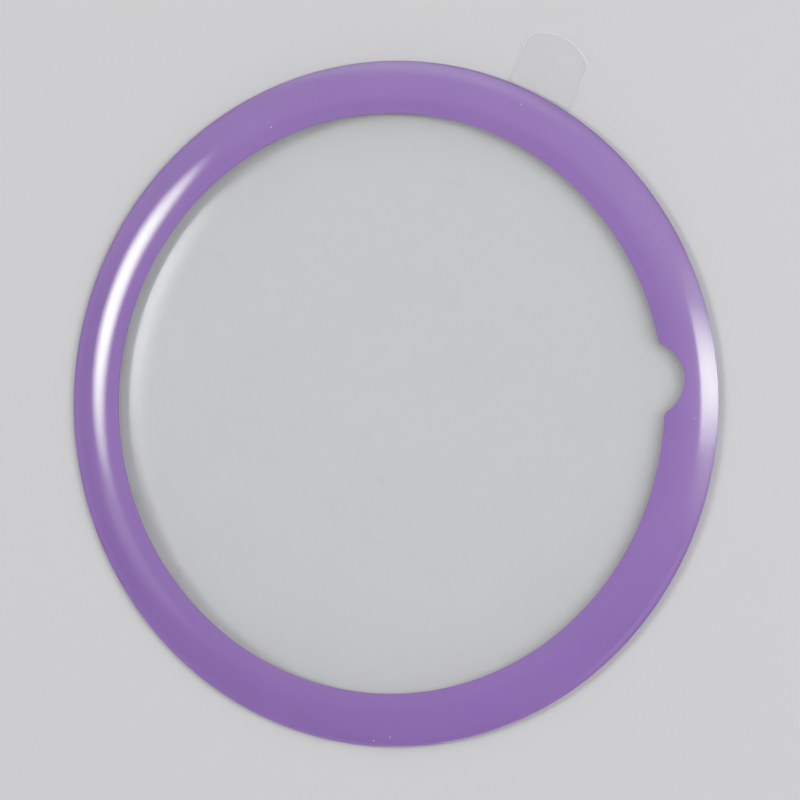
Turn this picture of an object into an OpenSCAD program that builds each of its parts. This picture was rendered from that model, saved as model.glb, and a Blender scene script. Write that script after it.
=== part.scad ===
// Curved cover film for a round smartwatch, lying on its release liner.
// The origin is the centre of the liner's underside. +Z points out of the lens face, and +X
// points at the notch for the light sensor, which is the watch's three o'clock side.
// A sheet's depth is measured square to the lens face, down from it.

/* [Cover lens] */
// Diameter of the lens across its rim
outer_d = 38; // [34:0.1:46]
// Thickness of the lens sheet
lens_t = 0.25; // [0.2:0.01:0.32]
// How far the rim's upper edge lies below the flat face
rim_drop = 0.74; // [0.6:0.02:0.96]
// Width of the flat strip from the window's edge to the start of the bend
flat_lap = 0.35; // [0.1:0.05:0.8]

/* [Border print] */
// Width of the printed border, from the window's edge to the rim
border_w = 2.95; // [2.5:0.05:3.4]
// Thickness of the printed ink
ink_t = 0.03; // [0.02:0.01:0.06]
// Radius of the notch that keeps the light sensor clear
sensor_r = 2.05; // [1.6:0.05:2.6]
// How far the notch reaches past the window's edge
sensor_depth = 1.17; // [0.7:0.01:1.4]
// Radius that rounds the two corners of the notch
sensor_fillet = 0.5; // [0.2:0.05:0.8]

/* [Bonded layers] */
// Thickness of the clear bond under the lens
bond_t = 0.1; // [0.05:0.01:0.14]
// Thickness of the shatter guard film
guard_t = 0.075; // [0.05:0.005:0.1]
// Thickness of the silicone gel that grips the watch glass
gel_t = 0.15; // [0.08:0.01:0.18]
// How far the layers' edge stays back from where the gel would meet the liner's brim
layer_setback = 0.15; // [0.05:0.05:0.4]

/* [Release liner] */
// Thickness of the liner film
liner_t = 0.1; // [0.05:0.01:0.15]
// Gap between the liner and what it lies against
peel_gap = 0.02; // [0.01:0.01:0.04]
// How far the liner's edge stays inside the rim
liner_inset = 0.1; // [0.05:0.05:0.3]
// Direction of the pull tab, counted from the notch
tab_angle = 58.5; // [0:0.5:359.5]
// Width of the pull tab
tab_w = 3.9; // [3:0.1:6]
// How far the pull tab reaches past the rim
tab_reach = 3.45; // [2:0.05:8]
// How far the pull tab's rounded end bulges past its corners
tab_crown = 0.83; // [0.2:0.01:1.4]

/* [Hidden] */
$fn = 180;

// Radii of the outline, the window and the flat middle
outer_r = outer_d / 2;
window_r = outer_r - border_w;
flat_r = window_r + flat_lap;

// The bend is an arc that leaves the flat face at flat_r and ends at the rim
bend_w = outer_r - flat_r;
bend_angle = 2 * atan(rim_drop / bend_w);
bend_r = bend_w / sin(bend_angle);

// Depth of each sheet's underside
lens_low = lens_t;
ink_low = lens_low + ink_t;
bond_low = ink_low + bond_t;
guard_low = bond_low + guard_t;
gel_low = guard_low + gel_t;
liner_high = gel_low + peel_gap;
liner_low = liner_high + liner_t;

// Heights: the printed rim stands just clear of the liner's brim, which lies on the ground
brim_clear_z = liner_t + peel_gap;
bend_z = brim_clear_z - (bend_r - ink_low) * cos(bend_angle);
face_z = bend_z + bend_r;

// Radius at which a bent sheet's underside comes down to a height
function reach_at(depth, z) = flat_r + sqrt(pow(bend_r - depth, 2) - pow(z - bend_z, 2));
layer_r = reach_at(gel_low, brim_clear_z) - layer_setback;

// Liner outline
liner_r = outer_r - liner_inset;
brim_r = reach_at(liner_low, 0);
tab_root_r = (brim_r + liner_r) / 2;
tab_tip_r = outer_r + tab_reach;
tab_corner_r = tab_tip_r - tab_crown;
tab_end_r = (pow(tab_w / 2, 2) + pow(tab_crown, 2)) / (2 * tab_crown);

// Half section of a sheet that follows the lens, from the axis to the rim
module sheet_section(depth, thickness) {
    translate([0, face_z - depth - thickness]) square([flat_r, thickness]);
    intersection() {
        translate([flat_r, bend_z]) difference() {
            circle(r = bend_r - depth);
            circle(r = bend_r - depth - thickness);
        }
        bend_wedge();
    }
}

// The slice of the half section that the bend takes up
module bend_wedge() {
    side = 2 * bend_r;
    translate([flat_r, bend_z])
        polygon([[0, 0], [0, side], [side * sin(bend_angle), side * cos(bend_angle)]]);
}

// A sheet that follows the lens and is cut square to its own surface at the rim
module rim_sheet(depth, thickness) {
    rotate_extrude() sheet_section(depth, thickness);
}

// A sheet that follows the lens and is cut upright at a radius
module trimmed_sheet(depth, thickness, radius) {
    rotate_extrude() intersection() {
        sheet_section(depth, thickness);
        square([radius, face_z]);
    }
}

// Outline of the clear window with its rounded notch
module window_outline() {
    sensor_x = window_r + sensor_depth - sensor_r;
    to_window = window_r + sensor_fillet;
    to_sensor = sensor_r + sensor_fillet;
    corner_x = (pow(to_window, 2) - pow(to_sensor, 2) + pow(sensor_x, 2)) / (2 * sensor_x);
    corner_y = sqrt(pow(to_window, 2) - pow(corner_x, 2));
    circle(r = window_r);
    translate([sensor_x, 0]) circle(r = sensor_r);
    difference() {
        polygon([[0, 0], [corner_x, -corner_y], [sensor_x, 0], [corner_x, corner_y]]);
        for (side = [-1, 1]) translate([corner_x, side * corner_y]) circle(r = sensor_fillet);
    }
}

// Outline of the pull tab, pointing along +X
module tab_outline() {
    intersection() {
        translate([tab_root_r, -tab_w / 2]) square([tab_tip_r - tab_root_r, tab_w]);
        union() {
            translate([tab_root_r, -tab_w / 2]) square([tab_corner_r - tab_root_r, tab_w]);
            translate([tab_tip_r - tab_end_r, 0]) circle(r = tab_end_r);
        }
    }
}

// Clear hard sheet, formed down at its edge to wrap the watch glass
module cover_lens() {
    color([0.90, 0.94, 0.97, 0.4]) rim_sheet(0, lens_t);
}

// Violet ink on the underside of the lens, out to the rim
module border_print() {
    color([0.57, 0.45, 0.69]) difference() {
        rim_sheet(lens_low, ink_t);
        linear_extrude(height = face_z) window_outline();
    }
}

// Clear bond that also fills the step at the ink's edge
module bond_layer() {
    color([0.86, 0.90, 0.95, 0.5]) {
        trimmed_sheet(ink_low, bond_t, layer_r);
        intersection() {
            rim_sheet(lens_low, ink_t);
            linear_extrude(height = face_z) window_outline();
        }
    }
}

// Tough film that holds the lens together when it cracks
module guard_film() {
    color([0.80, 0.88, 0.92, 0.5]) trimmed_sheet(bond_low, guard_t, layer_r);
}

// Soft silicone gel that clings to the watch glass
module gel_layer() {
    color([0.78, 0.84, 0.90, 0.5]) trimmed_sheet(guard_low, gel_t, layer_r);
}

// Liner that keeps the gel clean: it follows the dish, then lies flat as a brim with a tab
module release_liner() {
    color([0.88, 0.90, 0.90, 0.4]) {
        trimmed_sheet(liner_high, liner_t, liner_r);
        rotate_extrude() translate([brim_r, 0]) square([liner_r - brim_r, liner_t]);
        rotate([0, 0, tab_angle]) linear_extrude(height = liner_t) tab_outline();
    }
}

cover_lens();
border_print();
bond_layer();
guard_film();
gel_layer();
release_liner();
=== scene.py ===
"""Looks for a round smartwatch's cover film, which lies on its release liner.

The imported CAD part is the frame. Each sheet of the laminate has a class that builds it as a fine
mesh, dresses it and ties it to the frame. Sizes are in millimetres in the classes and in metres
in the meshes. A depth is measured square to the lens face, down from it.
"""

import logging
import math
from dataclasses import dataclass
from enum import Enum, IntEnum
from typing import Any, Mapping, Sequence

import bpy
import numpy as np
from mathutils import Euler, Matrix, Vector


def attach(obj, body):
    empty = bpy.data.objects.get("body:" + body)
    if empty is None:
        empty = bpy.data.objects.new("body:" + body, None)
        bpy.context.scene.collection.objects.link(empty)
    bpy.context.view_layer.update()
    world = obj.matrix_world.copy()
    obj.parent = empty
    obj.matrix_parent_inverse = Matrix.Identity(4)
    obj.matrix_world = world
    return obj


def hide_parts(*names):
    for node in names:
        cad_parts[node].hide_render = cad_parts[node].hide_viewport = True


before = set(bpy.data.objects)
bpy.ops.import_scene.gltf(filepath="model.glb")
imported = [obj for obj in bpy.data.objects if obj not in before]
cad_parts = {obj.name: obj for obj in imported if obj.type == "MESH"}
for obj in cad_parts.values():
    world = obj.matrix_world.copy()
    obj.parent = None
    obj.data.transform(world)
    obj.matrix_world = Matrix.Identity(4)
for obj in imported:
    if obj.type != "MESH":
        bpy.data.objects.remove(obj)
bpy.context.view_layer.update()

LOG = logging.getLogger("cover_film")
MM = 0.001
SKIN_GAP = 0.001  # mm that each sheet's faces stand back from its neighbours
SHARP_FROM = math.radians(38)  # edges that turn more than this stay sharp
CLEAR_CROSSINGS = 64  # clear faces that a ray may cross on its way down to the floor and back

Colour = tuple[float, float, float]
Spread = np.ndarray | float  # one value at each angle, or the same all round
Settings = Mapping[str, Any] | None
Sockets = Mapping[str | int, Any] | None
WHITE: Colour = (1.0, 1.0, 1.0)


class Body(Enum):
    """The CAD bodies that pieces ride on."""

    LINER = "liner"
    FILM = "film"


class Skin(IntEnum):
    """The surfaces of a sheet, by the material slot of its mesh."""

    FACE = 0
    EDGE = 1
    UNDERSIDE = 2


class Wire:
    """An output socket of a node, which can be used in Python sums."""

    def __init__(self, shader: "Shader", socket: bpy.types.NodeSocket) -> None:
        """Keeps the socket and the shader that it belongs to."""
        self.shader = shader
        self.socket = socket

    def __add__(self, other: "Wire | float") -> "Wire":
        """Adds a value."""
        return self.shader.maths("ADD", self, other)

    def __radd__(self, other: float) -> "Wire":
        """Adds this to a number."""
        return self.shader.maths("ADD", other, self)

    def __sub__(self, other: "Wire | float") -> "Wire":
        """Takes a value away."""
        return self.shader.maths("SUBTRACT", self, other)

    def __rsub__(self, other: float) -> "Wire":
        """Takes this from a number."""
        return self.shader.maths("SUBTRACT", other, self)

    def __mul__(self, other: "Wire | float") -> "Wire":
        """Multiplies by a value."""
        return self.shader.maths("MULTIPLY", self, other)

    def __rmul__(self, other: float) -> "Wire":
        """Multiplies a number by this."""
        return self.shader.maths("MULTIPLY", other, self)

    def __pow__(self, other: float) -> "Wire":
        """Raises this to a power."""
        return self.shader.maths("POWER", self, other)


class Shader:
    """Builds one node tree."""

    def __init__(self, tree: bpy.types.NodeTree) -> None:
        """Starts from an empty tree."""
        self.tree = tree
        tree.nodes.clear()

    def add(self, kind: str, settings: Settings = None, sockets: Sockets = None) -> bpy.types.Node:
        """Adds a node.

        Args:
            kind: the node's type.
            settings: its own settings, set first. "stops" sets a ramp's stops.
            sockets: values or wires for its inputs, by name or number.

        Returns:
            The node.
        """
        made = self.tree.nodes.new(kind)
        for name, value in (settings or {}).items():
            if name == "stops":
                self._set_stops(made.color_ramp, value)
            else:
                setattr(made, name, value)
        for key, value in (sockets or {}).items():
            if isinstance(value, Wire):
                self.tree.links.new(value.socket, made.inputs[key])
            else:
                made.inputs[key].default_value = value
        return made

    @staticmethod
    def _set_stops(ramp: bpy.types.ColorRamp, stops: Sequence[tuple[float, float]]) -> None:
        """Gives a ramp its grey stops.

        Args:
            ramp: the ramp.
            stops: a (place, level) for each stop.
        """
        while len(ramp.elements) < len(stops):
            ramp.elements.new(0.5)
        for element, (place, level) in zip(ramp.elements, stops):
            element.position = place
            element.color = (level, level, level, 1.0)

    def node(
        self, kind: str, settings: Settings = None, sockets: Sockets = None, out: str | int = 0
    ) -> Wire:
        """Adds a node as add does, and gives back the wire of one output."""
        return Wire(self, self.add(kind, settings, sockets).outputs[out])

    def wires(self, node: bpy.types.Node, *names: str) -> list[Wire]:
        """The wires of several outputs of a node."""
        return [Wire(self, node.outputs[name]) for name in names]

    def maths(self, operation: str, *values: Wire | float) -> Wire:
        """A Math node on these values."""
        return self.node("ShaderNodeMath", {"operation": operation}, dict(enumerate(values)))

    def vectors(self, operation: str, *values: Any) -> Wire:
        """A Vector Math node on these vectors."""
        return self.node("ShaderNodeVectorMath", {"operation": operation}, dict(enumerate(values)))

    def blend(self, factor: Wire | float, first: Any, second: Any) -> Wire:
        """A colour between two, by a factor."""
        first, second = [v if isinstance(v, Wire) else (*v, 1.0) for v in (first, second)]
        return self.node(
            "ShaderNodeMix",
            {"data_type": "RGBA", "clamp_factor": True},
            {0: factor, 6: first, 7: second},
            out=2,
        )

    def turned(self, vector: Wire, angle: float) -> Wire:
        """A vector turned about Z by an angle in radians."""
        return self.node(
            "ShaderNodeVectorRotate",
            {"rotation_type": "Z_AXIS"},
            {"Vector": vector, "Angle": angle},
        )

    def place(self, stretch: Colour = (1.0, 1.0, 1.0), angle: float = 0.0) -> Wire:
        """The piece's own coordinates in millimetres, turned about Z and then stretched."""
        own = self.turned(self.node("ShaderNodeTexCoord", out="Object"), angle)
        return self.vectors("MULTIPLY", own, tuple(s / MM for s in stretch))

    def noise(
        self, place: Wire, scale: float, detail: float = 2.0, roughness: float = 0.5
    ) -> Wire:
        """Noise from 0 to 1, with scale features to the millimetre."""
        return self.node(
            "ShaderNodeTexNoise",
            sockets={"Vector": place, "Scale": scale, "Detail": detail, "Roughness": roughness},
        )

    def ramp(self, value: Wire, *stops: tuple[float, float]) -> Wire:
        """The level that a value has on a ramp of (place, level) stops."""
        return self.node("ShaderNodeValToRGB", {"stops": stops}, {0: value})

    def ease(self, value: Wire, start: float, end: float) -> Wire:
        """Rises smoothly from 0 to 1 between two values."""
        return self.node(
            "ShaderNodeMapRange",
            {"interpolation_type": "SMOOTHSTEP"},
            {"Value": value, "From Min": start, "From Max": end},
        )

    def parts(self, vector: Wire) -> list[Wire]:
        """The three parts of a vector."""
        return self.wires(self.add("ShaderNodeSeparateXYZ", sockets={0: vector}), "X", "Y", "Z")


class MaterialShader(Shader):
    """Builds one material."""

    def __init__(self, name: str) -> None:
        """Makes a new material.

        Args:
            name: the material's name.
        """
        self.material = bpy.data.materials.new(name)
        self.material.use_nodes = True
        super().__init__(self.material.node_tree)

    def outside(self) -> Wire:
        """1 where a face is seen from outside its sheet, 0 from within."""
        return 1.0 - self.node("ShaderNodeNewGeometry", out="Backfacing")

    def mirror_share(self, head_on: float) -> Wire:
        """What a glossy face mirrors, by the angle it is seen at."""
        facing = self.node("ShaderNodeLayerWeight", sockets={"Blend": 0.5}, out="Facing")
        return facing**5.0 * (1.0 - head_on) + head_on

    def principled(self, sockets: Mapping[str, Any]) -> Wire:
        """A Principled shader."""
        return self.node("ShaderNodeBsdfPrincipled", sockets=sockets)

    def show(self, surface: Wire) -> bpy.types.Material:
        """Connects the surface and gives back the material."""
        self.add("ShaderNodeOutputMaterial", sockets={"Surface": surface})
        return self.material

    def show_over_clear(
        self, share: Wire | float, surface: Wire, tint: Colour = WHITE
    ) -> bpy.types.Material:
        """Shows a surface by that share, and what lies behind it by the rest."""
        clear = self.node("ShaderNodeBsdfTransparent", sockets={"Color": (*tint, 1.0)})
        return self.show(self.node("ShaderNodeMixShader", sockets={0: share, 1: clear, 2: surface}))


@dataclass(frozen=True)
class Scratches:
    """Fine straight scratches of one direction.

    The turn about Z is in radians, the length and the spacing in millimetres, and the share is
    how much of the surface they take up.
    """

    turn: float
    length: float
    spacing: float
    share: float = 0.02
    patch: float = 0.7

    def mask(self, s: Shader) -> Wire:
        """Draws them.

        Args:
            s: the shader that they are for.

        Returns:
            A mask that is 1 on a scratch.
        """
        along = s.place((1 / self.length, 1 / self.spacing, 0.0), self.turn)
        wide = self.patch / self.length
        lines = s.noise(along, 1.0, 0.0)
        patches = s.noise(s.place((wide, wide, 0.0), self.turn), 1.0, 0.0)
        thin = s.ramp(lines, (0.72 - self.share, 0.0), (0.74 - self.share, 1.0))
        return thin * s.ramp(patches, (0.5, 0.0), (0.62, 1.0))


@dataclass(frozen=True)
class HardCoatFinish:
    """Clear lens face with a hard glossy coat, fine scratches and a few specks of dust."""

    name: str = "lens hard coat"
    head_on: float = 0.08
    tint: Colour = (0.89, 1.0, 0.75)
    untinted_from: float = 0.5
    roughness: float = 0.055
    smudge_roughness: float = 0.02
    smudge_scale: float = 0.35
    scratches: tuple[Scratches, Scratches] = (
        Scratches(0.5, 2.4, 0.03),
        Scratches(2.1, 3.1, 0.04),
    )
    scratch_roughness: float = 0.1
    scratch_gloss: float = 0.02
    speck_pitch: float = 2.3
    speck_r: float = 0.04
    speck_share: float = 0.2
    speck_gloss: float = 0.5

    def specks(self, s: Shader) -> Wire:
        """Scatters the specks of dust.

        Args:
            s: the shader that they are for.

        Returns:
            A mask that is 1 on a speck.
        """
        cells = s.add(
            "ShaderNodeTexVoronoi",
            {"voronoi_dimensions": "2D"},
            {"Vector": s.place(), "Scale": 1 / self.speck_pitch},
        )
        away, chance = s.wires(cells, "Distance", "Color")
        near = s.maths("LESS_THAN", away, self.speck_r / self.speck_pitch)
        return near * s.maths("GREATER_THAN", chance, 1.0 - self.speck_share)

    def material(self) -> bpy.types.Material:
        """Builds the material.

        Returns:
            The material. Its tint fades where the coat mirrors more, at a grazing angle.
        """
        s = MaterialShader(self.name)
        scratches = s.maths("MAXIMUM", *[one.mask(s) for one in self.scratches])
        specks = self.specks(s)
        smudge = s.noise(s.place(), self.smudge_scale, 1.0)
        mirrored = s.mirror_share(self.head_on)
        fade = s.ease(mirrored, self.head_on, self.untinted_from)
        roughness = smudge * self.smudge_roughness + scratches * self.scratch_roughness
        gloss = s.principled(
            {
                "Base Color": s.blend(fade, self.tint, WHITE),
                "Metallic": 1.0 - specks,
                "Roughness": roughness + self.roughness,
            }
        )
        share = mirrored + scratches * self.scratch_gloss + specks * self.speck_gloss
        return s.show_over_clear(share * s.outside(), gloss)


@dataclass(frozen=True)
class ClearFinish:
    """A clear bonded face without a gloss of its own, which holds small hazy patches."""

    name: str
    haze: float
    grain: float
    tint: Colour = WHITE
    white: Colour = (0.86, 0.88, 0.92)
    patches_from: float = 0.7
    roughness: float = 0.7

    def material(self) -> bpy.types.Material:
        """Builds the material.

        Returns:
            The material.
        """
        s = MaterialShader(self.name)
        cloud = s.noise(s.place(), self.grain, 0.0)
        patches = s.ramp(cloud, (self.patches_from, 0.0), (1.0, 1.0))
        milky = s.principled(
            {
                "Base Color": (*self.white, 1.0),
                "Roughness": self.roughness,
                "Specular IOR Level": 0.0,
            }
        )
        return s.show_over_clear(patches * self.haze, milky, self.tint)


@dataclass(frozen=True)
class CutEdgeFinish:
    """The cut edge of a clear sheet, with cut marks, in a pale and partly opaque colour that paints
    the light the edge gathers.
    """

    name: str
    share: float
    # Pale colour: painted highlight along the cut edge.
    colour: Colour = (0.84, 0.87, 0.92)
    roughness: float = 0.35
    marks_scale: float = 9.0
    marks_stretch: Colour = (1.0, 1.0, 6.0)
    marks_colour: float = 0.9
    marks_roughness: float = 0.2
    marks_share: float = 0.12
    gloss: float = 0.15

    def material(self) -> bpy.types.Material:
        """Builds the material.

        Returns:
            The material.
        """
        s = MaterialShader(self.name)
        marks = s.noise(s.place(self.marks_stretch), self.marks_scale)
        dull = [c * self.marks_colour for c in self.colour]
        cut = s.principled(
            {
                "Base Color": s.blend(marks, dull, self.colour),
                "Roughness": marks * self.marks_roughness + self.roughness,
                "Specular IOR Level": self.gloss,
            }
        )
        return s.show_over_clear(marks * self.marks_share + self.share, cut)


@dataclass(frozen=True)
class InkFinish:
    """Opaque violet screen ink, seen through the lens."""

    name: str = "violet screen ink"
    colour: Colour = (0.25, 0.136, 0.42)
    deep: Colour = (0.234, 0.126, 0.398)
    pigment_scale: float = 14.0
    pigment_share: float = 0.16
    pool_scale: float = 0.16
    pool_share: float = 0.5
    roughness: float = 0.42
    unevenness: float = 0.2
    gloss: float = 0.12

    def material(self) -> bpy.types.Material:
        """Builds the material.

        Returns:
            The material.
        """
        s = MaterialShader(self.name)
        grain = s.noise(s.place(), self.pigment_scale, roughness=0.6)
        pigment = s.ramp(grain, (0.3, 0.0), (0.7, 1.0))
        pools = s.ramp(s.noise(s.place(), self.pool_scale, 1.0), (0.35, 0.0), (0.65, 1.0))
        even = 1.0 - self.pigment_share - self.pool_share
        shade = pigment * self.pigment_share + pools * self.pool_share + even
        return s.show(
            s.principled(
                {
                    "Base Color": s.blend(shade, self.deep, self.colour),
                    "Roughness": pigment * (self.roughness * self.unevenness) + self.roughness,
                    "Specular IOR Level": self.gloss,
                }
            )
        )


@dataclass(frozen=True)
class LensRimFinish(InkFinish):
    """The lens's rounded rim, which pipes the ink's colour out; its paler colour is a painted
    highlight along the rim.
    """

    name: str = "lens rim painted highlight"
    # Paler than the ink: a painted highlight along the rim.
    colour: Colour = (0.34, 0.22, 0.52)
    deep: Colour = (0.3, 0.19, 0.47)
    roughness: float = 0.3
    gloss: float = 0.4


@dataclass(frozen=True)
class InkEdgeFinish:
    """The ink's own edge round the window, coloured much darker than the ink: painted shade along
    that edge.
    """

    name: str = "violet ink edge painted shade"
    # Dark violet: painted shade along the window's edge.
    colour: Colour = (0.105, 0.05, 0.125)
    dark: float = 0.75
    grain: float = 18.0
    roughness: float = 0.5
    gloss: float = 0.1

    def material(self) -> bpy.types.Material:
        """Builds the material.

        Returns:
            The material.
        """
        s = MaterialShader(self.name)
        deep = [c * self.dark for c in self.colour]
        return s.show(
            s.principled(
                {
                    "Base Color": s.blend(s.noise(s.place(), self.grain), deep, self.colour),
                    "Roughness": self.roughness,
                    "Specular IOR Level": self.gloss,
                }
            )
        )


@dataclass(frozen=True)
class LinerFinish:
    """Release liner film: clear, with a soft gloss, a faint haze and rolling marks."""

    name: str = "liner film"
    head_on: float = 0.036
    tint: Colour = (0.93, 0.96, 1.0)
    haze: float = 0.002
    roughness: float = 0.11
    rolled_stretch: Colour = (0.25, 3.0, 0.0)
    rolled_turn: float = 0.55
    rolled_roughness: float = 0.05
    scratches: Scratches = Scratches(0.9, 1.8, 0.03)
    scratch_gloss: float = 0.01

    def material(self) -> bpy.types.Material:
        """Builds the material.

        Returns:
            The material.
        """
        s = MaterialShader(self.name)
        rolled = s.noise(s.place(self.rolled_stretch, self.rolled_turn), 1.0, 1.0)
        gloss = s.principled(
            {
                "Base Color": (*self.tint, 1.0),
                "Metallic": 1.0,
                "Roughness": rolled * self.rolled_roughness + self.roughness,
            }
        )
        marks = rolled * self.haze + self.scratches.mask(s) * self.scratch_gloss
        return s.show_over_clear((s.mirror_share(self.head_on) + marks) * s.outside(), gloss)


@dataclass(frozen=True)
class FilmSection:
    """The half section that every sheet of the film follows: flat, then an arc down to the rim."""

    outer_r: float = 19.0
    rim_drop: float = 0.74
    flat_r: float = 16.4
    lowest_ink: float = 0.28
    brim_clear_z: float = 0.12
    onset: float = 0.7
    lens_t: float = 0.25
    rim_t: float = 0.05
    turn_up: float = 0.6
    turn_points: int = 12
    steps: int = 480

    @property
    def bend_angle(self) -> float:
        """How far the sheet has turned at the rim, in radians."""
        return 2 * math.atan(self.rim_drop / (self.outer_r - self.flat_r))

    @property
    def bend_r(self) -> float:
        """Radius of the arc in the lens face."""
        return (self.outer_r - self.flat_r) / math.sin(self.bend_angle)

    @property
    def face_z(self) -> float:
        """Height of the flat lens face."""
        below = (self.bend_r - self.lowest_ink) * math.cos(self.bend_angle)
        return self.brim_clear_z + self.bend_r - below

    def surface(self) -> tuple[np.ndarray, np.ndarray, np.ndarray, np.ndarray]:
        """The lens face from just inside the bend to the rim.

        Returns:
            For each point: its way along the face, its radius, its height and the face's tilt.
        """
        half = self.onset / 2
        along = np.linspace(-half, self.bend_r * self.bend_angle, self.steps)
        eased = np.where(along < half, (along + half) ** 2 / (4 * half), along)
        tilt = eased / self.bend_r
        step = np.diff(along)
        middle = (tilt[1:] + tilt[:-1]) / 2
        radius = self.flat_r - half + np.concatenate([[0], np.cumsum(np.cos(middle) * step)])
        height = self.face_z - np.concatenate([[0], np.cumsum(np.sin(middle) * step)])
        share = (along > half) * (along - half) / (along[-1] - half)
        radius *= 1 + (self.outer_r / radius[-1] - 1) * share
        return along, radius, height, tilt

    def profile(self, depth: float) -> tuple[np.ndarray, np.ndarray]:
        """The radii, which rise, and the heights of a surface at a depth below the lens face."""
        _, radius, height, tilt = self.surface()
        return radius - depth * np.sin(tilt), height - depth * np.cos(tilt)

    def rim_points(self, depth: float) -> list[tuple[float, float]]:
        """Where the lens's underside turns up to its rim, and what follows it there.

        Args:
            depth: the surface's depth below the lens face away from the rim.

        Returns:
            (radius, height) from the rim back to where the turn starts.
        """
        along, radius, height, tilt = self.surface()
        share = 1 - np.cos(np.linspace(0.0, np.pi / 2, self.turn_points))
        place = along[-1] - self.turn_up * share
        full = self.lens_t - self.rim_t
        down = self.rim_t + full * np.sqrt(1 - (1 - share) ** 2) + depth - self.lens_t
        lean = np.interp(place, along, tilt)
        out = np.interp(place, along, radius) - down * np.sin(lean)
        up = np.interp(place, along, height) - down * np.cos(lean)
        return list(zip(out.tolist(), up.tolist()))

    def reach(self, depth: float) -> float:
        """The radius at which a sheet's surface ends at the rim."""
        return float(self.profile(depth)[0][-1])

    def height(self, depth: float, radius: Spread) -> np.ndarray:
        """The height of a sheet's surface at a radius."""
        return np.interp(radius, *self.profile(depth))


class RingMesh:
    """A mesh of rings about the Z axis, added in order and joined by strips of faces."""

    def __init__(self, angles: np.ndarray) -> None:
        """Starts with no rings.

        Args:
            angles: the angles, in radians, at which every ring has a point.
        """
        self.angles = angles
        self.rings: list[tuple[np.ndarray, np.ndarray]] = []
        self.skins: list[Skin] = []

    def add(self, radius: Spread, height: Spread, skin: Skin = Skin.FACE) -> None:
        """Adds a ring.

        Args:
            radius: its radius in millimetres, at each angle or all round. 0 is a point.
            height: its height in millimetres, in the same way.
            skin: the surface that the strip from the ring before to this one belongs to.
        """
        shape = self.angles.shape
        self.rings.append((np.broadcast_to(radius, shape), np.broadcast_to(height, shape)))
        self.skins.append(skin)

    def points(self) -> tuple[list[tuple[float, float, float]], list[np.ndarray]]:
        """Places every ring's points.

        Returns:
            The points in metres, and each ring's numbers in that list. A ring on the axis is one
            point, which all its numbers name.
        """
        count = len(self.angles)
        points: list[tuple[float, float, float]] = []
        index: list[np.ndarray] = []
        for radius, height in self.rings:
            if np.all(radius == 0):
                index.append(np.full(count, len(points)))
                points.append((0.0, 0.0, float(height[0]) * MM))
                continue
            index.append(np.arange(count) + len(points))
            x, y = radius * np.cos(self.angles) * MM, radius * np.sin(self.angles) * MM
            points.extend(zip(x.tolist(), y.tolist(), (height * MM).tolist()))
        return points, index

    def build(self, name: str, closed: bool = False) -> bpy.types.Object:
        """Makes the object.

        Args:
            name: the piece's name.
            closed: joins the last ring to the first.

        Returns:
            The linked object, smooth but for its sharp edges.
        """
        points, index = self.points()
        strips = list(zip(index, index[1:], self.skins[1:]))
        if closed:
            strips.append((index[-1], index[0], self.skins[0]))
        faces: list[list[int]] = []
        skins: list[Skin] = []
        for first, second, skin in strips:
            for corners in zip(first, second, np.roll(second, -1), np.roll(first, -1)):
                faces.append(list(dict.fromkeys(int(corner) for corner in corners)))
                skins.append(skin)
        mesh = bpy.data.meshes.new(name)
        mesh.from_pydata(points, [], faces)
        mesh.polygons.foreach_set("material_index", skins)
        mesh.shade_smooth()
        mesh.set_sharp_from_angle(angle=SHARP_FROM)
        mesh.validate()
        piece = bpy.data.objects.new(name, mesh)
        bpy.context.scene.collection.objects.link(piece)
        return piece


def turns(count: int, *fine: tuple[float, float, float]) -> np.ndarray:
    """Angles all round, with closer ones where the outline changes fast.

    Args:
        count: how many even angles there are.
        fine: (from, to, step) in degrees for each closer stretch.

    Returns:
        The angles in radians, sorted.
    """
    degrees = [np.arange(count) * 360.0 / count]
    degrees += [np.arange(start, stop, step) for start, stop, step in fine]
    return np.radians(np.unique(np.round(np.concatenate(degrees) % 360.0, 4)))


def turn_from(angles: np.ndarray, middle: float) -> np.ndarray:
    """How far angles turn away from a middle one, from 0 to pi."""
    return np.abs((angles - middle + np.pi) % (2 * np.pi) - np.pi)


def rounded_corner(
    before: Sequence[float],
    corner: Sequence[float],
    after: Sequence[float],
    radius: float,
    steps: int,
) -> list[Vector]:
    """The arc that rounds a corner between two straight stretches.

    Args:
        before: a point on the stretch that comes in.
        corner: the corner.
        after: a point on the stretch that goes out.
        radius: the arc's radius.
        steps: how many points it gets.

    Returns:
        Points in order along the arc.
    """
    tip = Vector(corner)
    back, ahead = (Vector(before) - tip).normalized(), (Vector(after) - tip).normalized()
    half = math.acos(max(-1.0, min(1.0, back.dot(ahead)))) / 2
    centre = tip + (back + ahead).normalized() * (radius / math.sin(half))
    start = tip + back * (radius / math.tan(half)) - centre
    end = tip + ahead * (radius / math.tan(half)) - centre
    sweep = start.angle_signed(end)
    arc = []
    for i in range(steps):
        turn = -sweep * i / (steps - 1)
        c, s = math.cos(turn), math.sin(turn)
        arc.append(centre + Vector((start.x * c - start.y * s, start.x * s + start.y * c)))
    return arc


@dataclass(frozen=True)
class Sheet:
    """What all sheets share: the section that they follow, and how they join the frame."""

    section: FilmSection

    def finish(
        self,
        piece: bpy.types.Object,
        body: Body,
        node: str,
        slot: str,
        finishes: Mapping[Skin, Any],
    ) -> bpy.types.Object:
        """Dresses a piece and ties it to the frame.

        Args:
            piece: the piece.
            body: the body that it rides on.
            node: the CAD node that it stands for.
            slot: the record's material slot. Not used.
            finishes: the finish of each of its surfaces.

        Returns:
            The piece.
        """
        for skin in sorted(finishes):
            piece.data.materials.append(finishes[skin].material())
        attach(piece, body.value)
        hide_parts(node)
        LOG.info("%s: %d faces on body %s", piece.name, len(piece.data.polygons), body.value)
        return piece


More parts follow.
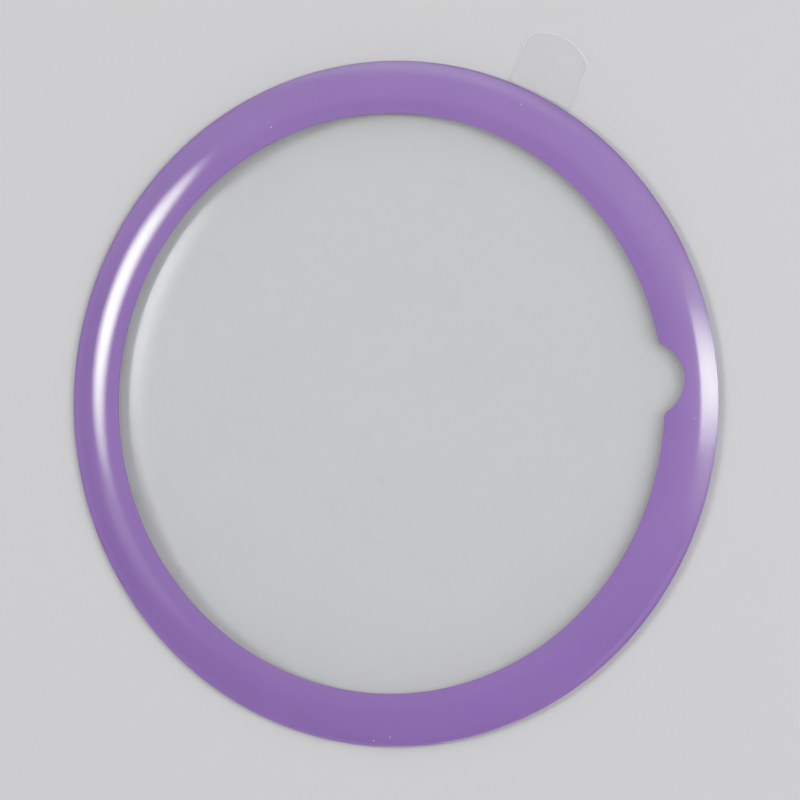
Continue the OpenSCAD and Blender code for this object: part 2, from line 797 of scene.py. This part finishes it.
@dataclass(frozen=True)
class CoverLens(Sheet):
    """The clear hard sheet, flat in the middle and bent down at its rim."""

    edge_round: float = 0.02
    edge_points: int = 5
    segments: int = 360
    flat_rings: tuple[float, ...] = (4.0, 8.0, 12.0, 14.5, 15.6)
    bend_from: float = 16.0
    bend_rings: int = 60
    under_step: float = 0.1
    under_rings: int = 34
    under_flat_rings: tuple[float, ...] = (12.0, 6.0)

    def build(self) -> bpy.types.Object:
        """Builds and dresses the lens, from the middle of its face round to that of its underside.

        Returns:
            The piece.
        """
        section, ring = self.section, RingMesh(turns(self.segments))
        low = section.lens_t - SKIN_GAP
        rim = section.reach(0.0)
        under = section.rim_points(low)
        inner = rim - 2 * self.edge_round
        ring.add(0.0, section.face_z)
        for radius in [*self.flat_rings, *np.linspace(self.bend_from, inner, self.bend_rings)]:
            ring.add(radius, section.height(0.0, radius))
        ends = [(inner, section.height(0.0, inner)), (rim, section.height(0.0, rim)), under[0]]
        start, *arc = rounded_corner(*ends, self.edge_round, self.edge_points)
        ring.add(start.x, start.y)
        for point in arc:
            ring.add(point.x, point.y, Skin.EDGE)
        for radius, height in under:
            ring.add(radius, height, Skin.UNDERSIDE)
        back = np.linspace(under[-1][0] - self.under_step, self.bend_from, self.under_rings)
        for radius in [*back, *self.under_flat_rings]:
            ring.add(radius, section.height(low, radius), Skin.UNDERSIDE)
        ring.add(0.0, section.face_z - low, Skin.UNDERSIDE)
        finishes = {
            Skin.FACE: HardCoatFinish(),
            Skin.EDGE: LensRimFinish(),
            Skin.UNDERSIDE: ClearFinish("lens bonded face", 0.02, 3.0),
        }
        piece = ring.build("lens_sheet")
        return self.finish(piece, Body.FILM, "cover_lens", "lens_sheet", finishes)


@dataclass(frozen=True)
class BorderPrint(Sheet):
    """The violet ink under the lens, with its window and the notch for the light sensor."""

    top: float = 0.25
    low: float = 0.28
    window_r: float = 16.05
    sensor_r: float = 2.05
    sensor_depth: float = 1.17
    sensor_fillet: float = 0.5
    segments: int = 360
    notch_segments: tuple[float, float, float] = (351.0, 369.0, 0.1)
    edge_up: float = 0.004
    edge_back: float = 0.003
    lip: float = 0.035
    turn_gap: float = 0.03
    top_rings: int = 42
    top_crowding: float = 1.1
    under_rings: int = 30

    def angles(self) -> np.ndarray:
        """Angles that follow the notch closely."""
        return turns(self.segments, self.notch_segments)

    def window(self, angles: np.ndarray) -> np.ndarray:
        """The radius of the window's outline.

        Args:
            angles: where it is wanted, in radians.

        Returns:
            The radius at each angle.
        """
        turn = turn_from(angles, 0.0)
        sensor_x = self.window_r + self.sensor_depth - self.sensor_r
        to_window = self.window_r + self.sensor_fillet
        to_sensor = self.sensor_r + self.sensor_fillet
        corner_x = (to_window**2 - to_sensor**2 + sensor_x**2) / (2 * sensor_x)
        corner_y = math.sqrt(to_window**2 - corner_x**2)
        corner_turn = math.atan2(corner_y, corner_x)
        share = self.sensor_r / to_sensor
        touch_turn = math.atan2(corner_y * share, sensor_x + (corner_x - sensor_x) * share)
        radius = np.full(angles.shape, self.window_r)
        notch = turn < touch_turn
        radius[notch] = sensor_x * np.cos(turn[notch]) + np.sqrt(
            self.sensor_r**2 - (sensor_x * np.sin(turn[notch])) ** 2
        )
        bend = (turn >= touch_turn) & (turn < corner_turn)
        off = turn[bend] - corner_turn
        radius[bend] = to_window * np.cos(off) - np.sqrt(
            self.sensor_fillet**2 - (to_window * np.sin(off)) ** 2
        )
        return radius

    def build(self) -> bpy.types.Object:
        """Builds and dresses the print, from the window over the top to the rim and back under.

        Returns:
            The piece.
        """
        section, ring = self.section, RingMesh(self.angles())
        top, low = self.top + SKIN_GAP, self.low - SKIN_GAP
        over, under = section.rim_points(top), section.rim_points(low)
        inner = self.window(ring.angles)
        ring.add(inner, section.height(low, inner) + self.edge_up, Skin.EDGE)
        ring.add(inner + self.edge_back, section.height(top, inner), Skin.EDGE)
        for share in np.linspace(0.0, 1.0, self.top_rings) ** self.top_crowding:
            radius = (inner + self.lip) * (1 - share) + (over[-1][0] - self.turn_gap) * share
            ring.add(radius, section.height(top, radius))
        for radius, height in [*over[::-1], *under]:
            ring.add(radius, height)
        for share in np.linspace(0.0, 1.0, self.under_rings):
            radius = (under[-1][0] - self.turn_gap) * (1 - share) + (inner + self.edge_back) * share
            ring.add(radius, section.height(low, radius))
        piece = ring.build("violet_border", closed=True)
        finishes = {Skin.FACE: InkFinish(), Skin.EDGE: InkEdgeFinish()}
        return self.finish(piece, Body.FILM, "border_print", "violet_ink", finishes)


@dataclass(frozen=True)
class InnerLayer(Sheet):
    """A clear layer under the lens, cut upright at its rim."""

    piece_name: str
    node: str
    slot: str
    top: float
    low: float
    haze: float
    grain: float
    cut_share: float
    tint: Colour = WHITE
    rim_r: float = 18.009
    edge_round: float = 0.015
    segments: int = 240
    flat_rings: tuple[float, ...] = (4.0, 8.0, 12.0, 14.0)
    bend_from: float = 15.8
    bend_rings: int = 18
    under_step: float = 0.1
    under_flat_rings: tuple[float, ...] = (12.0, 6.0)

    def middle(self, depth: float) -> RingMesh:
        """Starts the mesh with the flat middle of a face.

        Args:
            depth: the face's depth.

        Returns:
            The mesh, with its rings so far.
        """
        ring = RingMesh(self.angles())
        ring.add(0.0, self.section.face_z - depth)
        for radius in self.flat_rings:
            ring.add(radius, self.section.height(depth, radius))
        return ring

    def angles(self) -> np.ndarray:
        """The angles of its rings."""
        return turns(self.segments)

    def start(self) -> tuple[RingMesh, np.ndarray]:
        """Builds what lies inside the bend.

        Returns:
            The mesh so far, and the radius at each angle from which the upper face follows the
            section.
        """
        ring = self.middle(self.top + SKIN_GAP)
        return ring, np.full(ring.angles.shape, self.bend_from)

    def build(self) -> bpy.types.Object:
        """Builds and dresses the layer.

        Returns:
            The piece.
        """
        top, low = self.top + SKIN_GAP, self.low - SKIN_GAP
        section, rim, cut = self.section, self.rim_r, self.edge_round
        ring, first = self.start()
        for share in np.linspace(0.0, 1.0, self.bend_rings):
            radius = first * (1 - share) + (rim - cut) * share
            ring.add(radius, section.height(top, radius))
        ring.add(rim, section.height(top, rim) - cut, Skin.EDGE)
        ring.add(rim, section.height(low, rim) + cut, Skin.EDGE)
        ring.add(rim - cut, section.height(low, rim), Skin.EDGE)
        back = np.linspace(rim - self.under_step, self.bend_from, self.bend_rings)
        for radius in [*back, *self.under_flat_rings]:
            ring.add(radius, section.height(low, radius))
        ring.add(0.0, section.face_z - low)
        piece = ring.build(self.piece_name)
        finishes = {
            Skin.FACE: ClearFinish(f"{self.piece_name} face", self.haze, self.grain, self.tint),
            Skin.EDGE: CutEdgeFinish(f"{self.piece_name} cut edge", self.cut_share),
        }
        return self.finish(piece, Body.FILM, self.node, self.slot, finishes)


@dataclass(frozen=True)
class BondLayer(InnerLayer):
    """The clear bond, which stands up in the print's window and fills the step at its edge."""

    border: BorderPrint | None = None
    plug_gap: float = 0.006
    plug_round: float = 0.006
    plug_drop: float = 0.004
    foot_up: float = 0.002
    foot_out: float = 0.004

    def angles(self) -> np.ndarray:
        """The print's angles."""
        return self.border.angles()

    def start(self) -> tuple[RingMesh, np.ndarray]:
        """Builds the raised middle that fills the window.

        Returns:
            The mesh so far, and the radius at each angle from which the upper face follows the
            section.
        """
        section, depth = self.section, self.border.top + SKIN_GAP
        window = self.border.window(self.angles())
        side, crest = window - self.plug_gap, window - self.plug_gap - self.plug_round
        ring = self.middle(depth)
        ring.add(crest, section.height(depth, crest))
        ring.add(side, section.height(depth, window) - self.plug_drop)
        ring.add(side, section.height(self.top + SKIN_GAP, window) + self.foot_up)
        return ring, window + self.foot_out


@dataclass(frozen=True)
class ReleaseLiner(Sheet):
    """The thin film that the part lies on: a dished middle, a flat brim and a pull tab."""

    thickness: float = 0.1
    top: float = 0.625
    pad_r: float = 15.67
    pad_tilt: float = 10.0
    pad_roll: float = 1.1
    brim_r: float = 18.15
    liner_r: float = 18.9
    cut: float = 0.02
    tab_angle: float = 58.5
    tab_w: float = 3.9
    tab_tip_r: float = 22.45
    tab_crown: float = 0.83
    tab_corner_round: float = 0.42
    tab_root_round: float = 0.3
    tab_half_turn: float = 9.0
    curl_from: float = 19.1
    curl: float = 0.3
    segments: int = 360
    tab_sides: tuple[float, float] = (4.4, 8.0)
    tab_steps: tuple[float, float] = (0.25, 0.06)
    root_points: int = 10
    corner_points: int = 12
    end_points: int = 24
    past_corner: int = 5
    point_gap: float = 0.02
    flat_rings: tuple[float, ...] = (3.0, 6.0, 9.0, 11.5)
    roll_rings: int = 40
    roll_step: float = 0.1
    shoulder_r: float = 16.1
    dip_from: float = 16.35
    dip_rings: int = 20
    brim_rings: int = 14

    def angles(self) -> np.ndarray:
        """Angles that follow the tab, and its sides more closely."""
        middle, (near, far), (coarse, fine) = self.tab_angle, self.tab_sides, self.tab_steps
        return turns(
            self.segments,
            (middle - far, middle - near, fine),
            (middle - near, middle + near, coarse),
            (middle + near, middle + far, fine),
        )

    def outline(self, angles: np.ndarray) -> np.ndarray:
        """The radius of the liner's outline, tab and all.

        Args:
            angles: where it is wanted, in radians.

        Returns:
            The radius at each angle.
        """
        half = self.tab_w / 2
        end_r = (half**2 + self.tab_crown**2) / (2 * self.tab_crown)
        root = (math.sqrt(self.liner_r**2 - half**2), half)
        corner = (self.tab_tip_r - self.tab_crown, half)
        wide = math.radians(self.tab_half_turn)
        before = (self.liner_r * math.cos(wide), self.liner_r * math.sin(wide))
        centre = self.tab_tip_r - end_r
        end = [
            (centre + end_r * math.cos(t), end_r * math.sin(t))
            for t in np.linspace(math.asin(half / end_r), 0.0, self.end_points)
        ]
        after = end[self.past_corner]
        points = [before]
        points += rounded_corner(before, root, corner, self.tab_root_round, self.root_points)
        points += rounded_corner(root, corner, after, self.tab_corner_round, self.corner_points)
        points += [p for p in end if p[1] < points[-1][1] - self.point_gap]
        turn = np.array([math.atan2(p[1], p[0]) for p in points])
        far = np.array([math.hypot(p[0], p[1]) for p in points])
        order = np.argsort(turn)
        off = turn_from(angles, math.radians(self.tab_angle))
        return np.where(off < turn[0], np.interp(off, turn[order], far[order]), self.liner_r)

    def lift(self, radius: np.ndarray, angles: np.ndarray) -> np.ndarray:
        """How far the tab curls up off the floor.

        Args:
            radius: the radius in millimetres at each angle.
            angles: the angles in radians.

        Returns:
            The lift in millimetres at each angle, which is 0 away from the tab.
        """
        middle = math.radians(self.tab_angle)
        along = radius * np.cos(angles - middle) - self.curl_from
        rise = self.curl * np.clip(along / (self.tab_tip_r - self.curl_from), 0.0, None) ** 2
        return np.where(turn_from(angles, middle) < math.radians(self.tab_half_turn), rise, 0.0)

    def face(self, radius: np.ndarray) -> np.ndarray:
        """The height of the liner's upper face, without the tab's curl.

        Args:
            radius: the radius in millimetres.

        Returns:
            The height. The middle rolls off to a flat shoulder, which dips to the brim.
        """
        flat_z = self.section.face_z - self.top
        drop = math.tan(math.radians(self.pad_tilt)) * self.pad_roll
        roll = np.exp(np.minimum(radius - self.pad_r, 0.0) / self.pad_roll)
        knee = self.section.flat_r
        share = np.clip((radius - knee) / (self.brim_r - knee), 0.0, 1.0)
        dip = (flat_z - drop - self.thickness) * (3 * share**2 - 2 * share**3)
        return flat_z - drop * roll - dip

    def lay(self, ring: RingMesh, radius: Spread, drop: float, skin: Skin = Skin.FACE) -> None:
        """Adds a ring to the mesh.

        Args:
            ring: the mesh.
            radius: the ring's radius in millimetres, at each angle or all round.
            drop: how far it lies below the upper face.
            skin: the surface that its strip belongs to.
        """
        radius = np.broadcast_to(radius, ring.angles.shape)
        height = self.face(radius) + self.lift(radius, ring.angles) - drop
        ring.add(radius, height, skin)

    def build(self) -> bpy.types.Object:
        """Builds and dresses the liner, from the middle of its face round to that below.

        Returns:
            The piece.
        """
        ring = RingMesh(self.angles())
        edge = self.outline(ring.angles)
        cut, thickness, brim = self.cut, self.thickness, self.brim_r
        top_z = self.section.face_z - self.top
        rolls = self.pad_r - self.roll_step * np.arange(self.roll_rings, 0, -1)
        middle = [*self.flat_rings, *rolls, self.pad_r, self.pad_r + cut, self.shoulder_r]
        middle += [*np.linspace(self.dip_from, brim, self.dip_rings)]
        ring.add(0.0, top_z)
        for radius in middle:
            self.lay(ring, radius, 0.0)
        for share in np.linspace(0.0, 1.0, self.brim_rings)[1:]:
            self.lay(ring, brim * (1 - share) + (edge - 3 * cut) * share, 0.0)
        self.lay(ring, edge - cut, 0.0)
        self.lay(ring, edge - cut / 4, cut / 4, Skin.EDGE)
        self.lay(ring, edge, cut, Skin.EDGE)
        self.lay(ring, edge, thickness - cut, Skin.EDGE)
        self.lay(ring, edge - cut / 4, thickness - cut / 4, Skin.EDGE)
        self.lay(ring, edge - cut, thickness, Skin.EDGE)
        for share in np.linspace(1.0, 0.0, self.brim_rings)[1:]:
            self.lay(ring, brim * (1 - share) + (edge - cut) * share, thickness)
        for radius in middle[-2::-1]:
            self.lay(ring, radius, thickness)
        ring.add(0.0, top_z - thickness)
        piece = ring.build("liner_sheet")
        finishes = {
            Skin.FACE: LinerFinish(),
            # The liner's pale cut edge paints the highlight along the tab's outline.
            Skin.EDGE: CutEdgeFinish("liner cut edge", 0.52, (0.92, 0.94, 0.97), 0.4),
        }
        return self.finish(piece, Body.LINER, "release_liner", "liner_film", finishes)


@dataclass(frozen=True)
class Flag:
    """A dark edge across a light: its direction in degrees, how far out it lies, its softness."""

    angle: float
    reach: float
    soft: float


@dataclass(frozen=True)
class SoftBox:
    """A soft light that faces the part, brighter in its middle than at its edges.

    The way to it is (across, up, tilt) in the photograph: to the right, to the top and towards
    the camera. The distance, the width and the height are in metres. The feather is the share of
    each half side over which the light fades, and with two equal values it fades in a circle.
    The roll turns the light about its own way, in degrees.
    """

    name: str
    way: tuple[float, float, float]
    distance: float
    width: float
    height: float
    radiance: float
    feather: tuple[float, float]
    flag: Flag | None = None
    roll: float = 0.0

    def pattern(self, s: Shader) -> Wire:
        """How bright the light is at each spot.

        Args:
            s: the light's shader.

        Returns:
            A level from 0 to 1.
        """
        spot = s.parts(s.node("ShaderNodeNewGeometry", out="Parametric"))
        across, up = spot[0] * 2.0 - 1.0, spot[1] * 2.0 - 1.0
        if self.feather[0] == self.feather[1]:
            away = s.maths("SQRT", across * across + up * up)
            level = s.ease(1.0 - away, 0.0, self.feather[0])
        else:
            side = s.ease(1.0 - s.maths("ABSOLUTE", across), 0.0, self.feather[0])
            level = side * s.ease(1.0 - s.maths("ABSOLUTE", up), 0.0, self.feather[1])
        if self.flag:
            angle = math.radians(self.flag.angle)
            out = across * math.cos(angle) + up * math.sin(angle)
            level = level * s.ease(self.flag.reach - out, 0.0, self.flag.soft)
        return level

    def build(self, spin: Matrix) -> None:
        """Places the light.

        Args:
            spin: the turn from the photograph's directions to the part's.
        """
        way = spin @ Vector(self.way).normalized()
        top = spin @ Vector((0.0, 1.0, 0.0))
        top = (top - way * top.dot(way)).normalized()
        top = Matrix.Rotation(math.radians(self.roll), 3, way) @ top
        data = bpy.data.lights.new(self.name, "AREA")
        data.shape = "RECTANGLE"
        data.size, data.size_y = self.width, self.height
        data.energy = self.radiance * math.pi * self.width * self.height
        data.use_nodes = True
        s = Shader(data.node_tree)
        glow = s.node("ShaderNodeEmission", sockets={"Strength": self.pattern(s)})
        s.add("ShaderNodeOutputLight", sockets={"Surface": glow})
        lamp = bpy.data.objects.new(self.name, data)
        lamp.location = way * self.distance
        lamp.rotation_euler = Matrix((top.cross(way), top, way)).transposed().to_euler()
        lamp.visible_camera = False
        bpy.context.scene.collection.objects.link(lamp)


@dataclass(frozen=True)
class Studio:
    """Camera, floor, lights and surroundings."""

    part_turn: float = 4.8
    lens: float = 308.97
    sensor: float = 36.0
    clip: tuple[float, float] = (0.01, 20.0)
    camera_at: tuple[float, float, float] = (128.6781, -14.7905, 357.6023)
    camera_turn: tuple[float, float, float] = (0.66687, 19.83957, -4.68337)
    floor_half: float = 3.0
    floor_z: float = -0.00001
    floor_colour: Colour = (0.56, 0.565, 0.58)
    floor_roughness: float = 0.9
    floor_gloss: float = 0.1
    boxes: tuple[SoftBox, ...] = (
        SoftBox(
            "left softbox", (-0.66, 0.147, 0.736), 0.45, 0.24, 0.236, 9.8, (0.78, 0.78),
            Flag(39.0, 0.745, 0.22),
        ),
        SoftBox("left reflector", (-0.66, -0.02, 0.75), 0.5, 0.25, 0.3, 0.8, (0.8, 0.9)),
        SoftBox("right softbox", (0.695, 0.075, 0.715), 0.45, 0.345, 0.22, 5.9, (0.24, 0.92)),
        SoftBox("right reflector", (0.68, 0.05, 0.73), 0.5, 0.5, 0.5, 1.7, (0.75, 0.75)),
        SoftBox("right wall", (0.55, 0.2, 0.81), 0.5, 1.2, 1.2, 0.35, (1.0, 1.0)),
        SoftBox("top card", (-0.34, 0.84, 0.42), 0.5, 0.9, 0.25, 0.8, (0.85, 0.85)),
        SoftBox("low strip", (0.425, -0.586, 0.69), 0.5, 0.06, 0.5, 0.42, (0.35, 0.9), roll=-29.7),
    )
    levels: tuple[tuple[float, float], ...] = (
        (0.03, 0.99), (0.06, 0.05), (0.36, 0.055), (0.44, 0.08),
        (0.58, 0.085), (0.67, 0.145), (0.8, 0.155), (0.9, 0.18),
    )
    room_light: Colour = (4.1, 4.0, 3.95)
    backdrop: Colour = (0.62, 0.625, 0.64)

    def camera(self) -> None:
        """Makes the camera at the photograph's viewing angle."""
        data = bpy.data.cameras.new("camera")
        data.lens, data.sensor_width = self.lens, self.sensor
        data.clip_start, data.clip_end = self.clip
        camera = bpy.data.objects.new("camera", data)
        camera.location = Vector(self.camera_at) * MM
        camera.rotation_euler = Euler([math.radians(a) for a in self.camera_turn])
        bpy.context.scene.collection.objects.link(camera)
        bpy.context.scene.camera = camera

    def lights(self) -> None:
        """Hangs the soft lights."""
        spin = Matrix.Rotation(math.radians(-self.part_turn), 3, "Z")
        for box in self.boxes:
            box.build(spin)

    def floor(self) -> None:
        """Lays a plain pale floor, which doesn't show from below."""
        half, low = self.floor_half, self.floor_z
        corners = [(-half, -half, low), (half, -half, low), (half, half, low), (-half, half, low)]
        mesh = bpy.data.meshes.new("floor")
        mesh.from_pydata(corners, [], [(0, 1, 2, 3)])
        s = MaterialShader("pale floor")
        pale = s.principled(
            {
                "Base Color": (*self.floor_colour, 1.0),
                "Roughness": self.floor_roughness,
                "Specular IOR Level": self.floor_gloss,
            }
        )
        mesh.materials.append(s.show_over_clear(s.outside(), pale))
        floor = bpy.data.objects.new("floor", mesh)
        bpy.context.scene.collection.objects.link(floor)

    def surroundings(self) -> None:
        """Fills the room with light by levels from the photograph's bottom to its top."""
        world = bpy.data.worlds.new("room")
        world.use_nodes = True
        bpy.context.scene.world = world
        s = Shader(world.node_tree)
        way = s.node("ShaderNodeTexCoord", out="Generated")
        up = s.parts(s.turned(way, math.radians(self.part_turn)))[1] * 0.5 + 0.5
        lit = s.vectors("MULTIPLY", s.ramp(up, *self.levels), self.room_light)
        seen = s.node("ShaderNodeLightPath", out="Is Camera Ray")
        colour = s.blend(seen, lit, self.backdrop)
        light = s.node("ShaderNodeBackground", sockets={"Color": colour, "Strength": 1.0})
        s.add("ShaderNodeOutputWorld", sockets={"Surface": light})


def main() -> None:
    """Builds the room and the film, piece by piece."""
    logging.basicConfig(level=logging.INFO, format="%(name)s: %(message)s")
    scene = bpy.context.scene
    scene.view_settings.view_transform = "Standard"
    scene.cycles.transparent_max_bounces = CLEAR_CROSSINGS
    studio = Studio()
    studio.camera()
    studio.lights()
    studio.floor()
    studio.surroundings()

    section = FilmSection()
    border = BorderPrint(section)
    bond = BondLayer(
        section,
        piece_name="clear_bond",
        node="bond_layer",
        slot="clear_bond",
        top=0.28,
        low=0.38,
        haze=0.02,
        grain=5.0,
        cut_share=0.3,
        border=border,
    )
    guard = InnerLayer(
        section,
        piece_name="guard_sheet",
        node="guard_film",
        slot="guard_film",
        top=0.38,
        low=0.455,
        haze=0.02,
        grain=2.0,
        cut_share=0.4,
        tint=(0.998, 1.0, 1.0),
    )
    gel = InnerLayer(
        section,
        piece_name="gel_sheet",
        node="gel_layer",
        slot="silicone_gel",
        top=0.455,
        low=0.605,
        haze=0.03,
        grain=9.0,
        cut_share=0.25,
    )
    for sheet in (CoverLens(section), border, bond, guard, gel, ReleaseLiner(section)):
        sheet.build()


if __name__ == "__main__":
    main()
